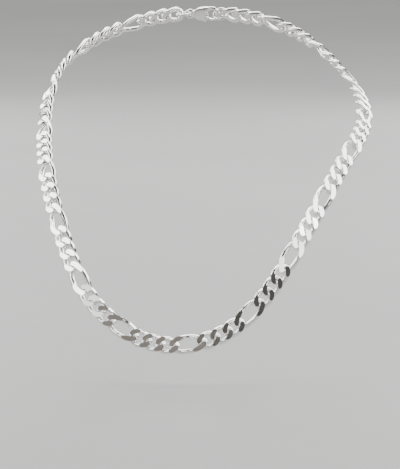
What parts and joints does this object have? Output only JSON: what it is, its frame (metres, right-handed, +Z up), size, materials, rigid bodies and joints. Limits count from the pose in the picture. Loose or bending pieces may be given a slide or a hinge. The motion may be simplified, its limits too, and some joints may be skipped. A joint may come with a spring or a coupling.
{
  "type": "chain necklace",
  "caption": "Figaro chain necklace of flat-cut curb links, lying round a neck and over the chest, closed at the nape by a lobster clasp between two rings.",
  "frame": {"origin": "middle of the lobster clasp at the nape of the neck", "axes": "+Z up, -Y to the wearer's front, +X to the wearer's left, with the necklace lying as it is worn"},
  "size_m": [0.1402, 0.1405, 0.1308],
  "materials": {
    "link_silver": "polished, with mirror-flat cut faces",
    "clasp_silver": "polished",
    "spring_steel": "drawn wire"
  },
  "bodies": {
    "clasp_body": {"clasp_front_shell": "clasp_silver", "clasp_back_shell": "clasp_silver", "clasp_rivet": "clasp_silver", "clasp_spring": "spring_steel"},
    "clasp_lever": {"clasp_lever": "clasp_silver"},
    "rings": {"jump_ring": "clasp_silver", "end_ring": "clasp_silver"},
    "pair_01": {"short_links_01": "link_silver"},
    "pair_02": {"short_links_02": "link_silver"},
    "pair_03": {"short_links_03": "link_silver"},
    "pair_04": {"long_links_04": "link_silver"},
    "pair_05": {"short_links_05": "link_silver"},
    "pair_06": {"short_links_06": "link_silver"},
    "pair_07": {"short_links_07": "link_silver"},
    "pair_08": {"long_links_08": "link_silver"},
    "pair_09": {"short_links_09": "link_silver"},
    "pair_10": {"short_links_10": "link_silver"},
    "pair_11": {"short_links_11": "link_silver"},
    "pair_12": {"long_links_12": "link_silver"},
    "pair_13": {"short_links_13": "link_silver"},
    "pair_14": {"short_links_14": "link_silver"},
    "pair_15": {"short_links_15": "link_silver"},
    "pair_16": {"long_links_16": "link_silver"},
    "pair_17": {"short_links_17": "link_silver"},
    "pair_18": {"short_links_18": "link_silver"},
    "pair_19": {"short_links_19": "link_silver"},
    "pair_20": {"long_links_20": "link_silver"},
    "pair_21": {"short_links_21": "link_silver"},
    "pair_22": {"short_links_22": "link_silver"},
    "pair_23": {"short_links_23": "link_silver"},
    "pair_24": {"long_links_24": "link_silver"},
    "pair_25": {"short_links_25": "link_silver"},
    "pair_26": {"short_links_26": "link_silver"},
    "pair_27": {"short_links_27": "link_silver"},
    "pair_28": {"long_links_28": "link_silver"},
    "pair_29": {"short_links_29": "link_silver"},
    "pair_30": {"short_links_30": "link_silver"},
    "pair_31": {"short_links_31": "link_silver"},
    "pair_32": {"long_links_32": "link_silver"},
    "pair_33": {"short_links_33": "link_silver"},
    "pair_34": {"short_links_34": "link_silver"},
    "pair_35": {"short_links_35": "link_silver"},
    "front_link": {"front_long_link": "link_silver"}
  },
  "joints": [
    {"name": "lever_pivot", "type": "hinge", "parent": "clasp_body", "child": "clasp_lever", "pos_m": [-0.00077, 0.00066, -0.00186], "axis": [-0.1771, -0.8931, -0.4136], "range_deg": [0, 10], "stiffness_Nm_per_rad": 0.0008, "springref_deg": -17.19, "deforming": ["clasp_spring"]},
    {"name": "ring_hinge", "type": "hinge", "parent": "clasp_body", "child": "rings", "pos_m": [-0.00006, -0.00029, -0.00012], "axis": [-0.9801, 0.1985, -0.0091], "range_deg": [0, 6]},
    {"name": "hinge_01", "type": "hinge", "parent": "rings", "child": "pair_01", "pos_m": [-0.00015, -0.00081, -0.00035], "axis": [-0.9814, 0.1917, -0.0112], "range_deg": [0, 6]},
    {"name": "hinge_02", "type": "hinge", "parent": "pair_01", "child": "pair_02", "pos_m": [-0.00031, -0.00194, -0.00088], "axis": [-0.9837, 0.1793, -0.0149], "range_deg": [0, 6]},
    {"name": "hinge_03", "type": "hinge", "parent": "pair_02", "child": "pair_03", "pos_m": [-0.00049, -0.00353, -0.00167], "axis": [-0.9861, 0.1653, -0.0188], "range_deg": [0, 6]},
    {"name": "hinge_04", "type": "hinge", "parent": "pair_03", "child": "pair_04", "pos_m": [-0.00064, -0.00553, -0.00274], "axis": [-0.9881, 0.1521, -0.0217], "range_deg": [0, 6]},
    {"name": "hinge_05", "type": "hinge", "parent": "pair_04", "child": "pair_05", "pos_m": [-0.00094, -0.01043, -0.00558], "axis": [-0.991, 0.1317, -0.0227], "range_deg": [0, 6]},
    {"name": "hinge_06", "type": "hinge", "parent": "pair_05", "child": "pair_06", "pos_m": [-0.00112, -0.01328, -0.00739], "axis": [-0.992, 0.1243, -0.0209], "range_deg": [0, 6]},
    {"name": "hinge_07", "type": "hinge", "parent": "pair_06", "child": "pair_07", "pos_m": [-0.0013, -0.01635, -0.00943], "axis": [-0.9928, 0.1181, -0.0185], "range_deg": [0, 6]},
    {"name": "hinge_08", "type": "hinge", "parent": "pair_07", "child": "pair_08", "pos_m": [-0.00148, -0.01961, -0.01168], "axis": [-0.9935, 0.1126, -0.0163], "range_deg": [0, 6]},
    {"name": "hinge_09", "type": "hinge", "parent": "pair_08", "child": "pair_09", "pos_m": [-0.00169, -0.02667, -0.01673], "axis": [-0.9946, 0.1028, -0.0149], "range_deg": [0, 6]},
    {"name": "hinge_10", "type": "hinge", "parent": "pair_09", "child": "pair_10", "pos_m": [-0.00163, -0.03052, -0.01953], "axis": [-0.995, 0.0984, -0.0163], "range_deg": [0, 6]},
    {"name": "hinge_11", "type": "hinge", "parent": "pair_10", "child": "pair_11", "pos_m": [-0.0014, -0.03456, -0.02247], "axis": [-0.9953, 0.0946, -0.0191], "range_deg": [0, 6]},
    {"name": "hinge_12", "type": "hinge", "parent": "pair_11", "child": "pair_12", "pos_m": [-0.00106, -0.03878, -0.02548], "axis": [-0.9955, 0.0918, -0.0227], "range_deg": [0, 6]},
    {"name": "hinge_13", "type": "hinge", "parent": "pair_12", "child": "pair_13", "pos_m": [-0.00021, -0.04765, -0.03138], "axis": [-0.9955, 0.0899, -0.0312], "range_deg": [0, 6]},
    {"name": "hinge_14", "type": "hinge", "parent": "pair_13", "child": "pair_14", "pos_m": [0.00015, -0.05234, -0.03426], "axis": [-0.9952, 0.0906, -0.0358], "range_deg": [0, 6]},
    {"name": "hinge_15", "type": "hinge", "parent": "pair_14", "child": "pair_15", "pos_m": [0.00041, -0.05715, -0.03704], "axis": [-0.9949, 0.0922, -0.0402], "range_deg": [0, 6]},
    {"name": "hinge_16", "type": "hinge", "parent": "pair_15", "child": "pair_16", "pos_m": [0.0005, -0.06206, -0.0397], "axis": [-0.9945, 0.0943, -0.0446], "range_deg": [0, 6]},
    {"name": "hinge_17", "type": "hinge", "parent": "pair_16", "child": "pair_17", "pos_m": [0.00016, -0.07192, -0.04471], "axis": [-0.9936, 0.099, -0.0536], "range_deg": [0, 6]},
    {"name": "hinge_18", "type": "hinge", "parent": "pair_17", "child": "pair_18", "pos_m": [-0.00025, -0.07686, -0.04719], "axis": [-0.9931, 0.1014, -0.0587], "range_deg": [0, 6]},
    {"name": "hinge_19", "type": "hinge", "parent": "pair_18", "child": "pair_19", "pos_m": [-0.00079, -0.08172, -0.04972], "axis": [-0.9926, 0.1035, -0.0638], "range_deg": [0, 6]},
    {"name": "hinge_20", "type": "hinge", "parent": "pair_19", "child": "pair_20", "pos_m": [-0.00142, -0.08645, -0.05239], "axis": [-0.9921, 0.105, -0.0687], "range_deg": [0, 6]},
    {"name": "hinge_21", "type": "hinge", "parent": "pair_20", "child": "pair_21", "pos_m": [-0.00277, -0.09531, -0.05824], "axis": [-0.9914, 0.106, -0.0771], "range_deg": [0, 6]},
    {"name": "hinge_22", "type": "hinge", "parent": "pair_21", "child": "pair_22", "pos_m": [-0.00344, -0.09944, -0.06157], "axis": [-0.9911, 0.1057, -0.0807], "range_deg": [0, 6]},
    {"name": "hinge_23", "type": "hinge", "parent": "pair_22", "child": "pair_23", "pos_m": [-0.00407, -0.10331, -0.06516], "axis": [-0.9909, 0.1052, -0.0844], "range_deg": [0, 6]},
    {"name": "hinge_24", "type": "hinge", "parent": "pair_23", "child": "pair_24", "pos_m": [-0.00465, -0.1069, -0.06898], "axis": [-0.9906, 0.1045, -0.0885], "range_deg": [0, 6]},
    {"name": "hinge_25", "type": "hinge", "parent": "pair_24", "child": "pair_25", "pos_m": [-0.00571, -0.11325, -0.07708], "axis": [-0.99, 0.1023, -0.0971], "range_deg": [0, 6]},
    {"name": "hinge_26", "type": "hinge", "parent": "pair_25", "child": "pair_26", "pos_m": [-0.00618, -0.11608, -0.08138], "axis": [-0.9898, 0.1001, -0.1016], "range_deg": [0, 6]},
    {"name": "hinge_27", "type": "hinge", "parent": "pair_26", "child": "pair_27", "pos_m": [-0.0066, -0.11868, -0.08579], "axis": [-0.9896, 0.0968, -0.1062], "range_deg": [0, 6]},
    {"name": "hinge_28", "type": "hinge", "parent": "pair_27", "child": "pair_28", "pos_m": [-0.00697, -0.12103, -0.09026], "axis": [-0.9896, 0.0919, -0.1107], "range_deg": [0, 6]},
    {"name": "hinge_29", "type": "hinge", "parent": "pair_28", "child": "pair_29", "pos_m": [-0.00742, -0.1251, -0.09916], "axis": [-0.9899, 0.0771, -0.1193], "range_deg": [0, 6]},
    {"name": "hinge_30", "type": "hinge", "parent": "pair_29", "child": "pair_30", "pos_m": [-0.00742, -0.12685, -0.1035], "axis": [-0.99, 0.0687, -0.123], "range_deg": [0, 6]},
    {"name": "hinge_31", "type": "hinge", "parent": "pair_30", "child": "pair_31", "pos_m": [-0.00721, -0.12837, -0.10763], "axis": [-0.9903, 0.0613, -0.1251], "range_deg": [0, 6]},
    {"name": "hinge_32", "type": "hinge", "parent": "pair_31", "child": "pair_32", "pos_m": [-0.00688, -0.12969, -0.11149], "axis": [-0.9906, 0.0544, -0.1253], "range_deg": [0, 6]},
    {"name": "hinge_33", "type": "hinge", "parent": "pair_32", "child": "pair_33", "pos_m": [-0.00628, -0.13189, -0.11811], "axis": [-0.9912, 0.0377, -0.1265], "range_deg": [0, 6]},
    {"name": "hinge_34", "type": "hinge", "parent": "pair_33", "child": "pair_34", "pos_m": [-0.00603, -0.13273, -0.12065], "axis": [-0.9912, 0.0291, -0.1289], "range_deg": [0, 6]},
    {"name": "hinge_35", "type": "hinge", "parent": "pair_34", "child": "pair_35", "pos_m": [-0.00583, -0.13335, -0.12249], "axis": [-0.9911, 0.0218, -0.1316], "range_deg": [0, 6]},
    {"name": "front_hinge", "type": "hinge", "parent": "pair_35", "child": "front_link", "pos_m": [-0.0057, -0.13371, -0.12359], "axis": [-0.991, 0.0174, -0.133], "range_deg": [0, 6]}
  ]
}
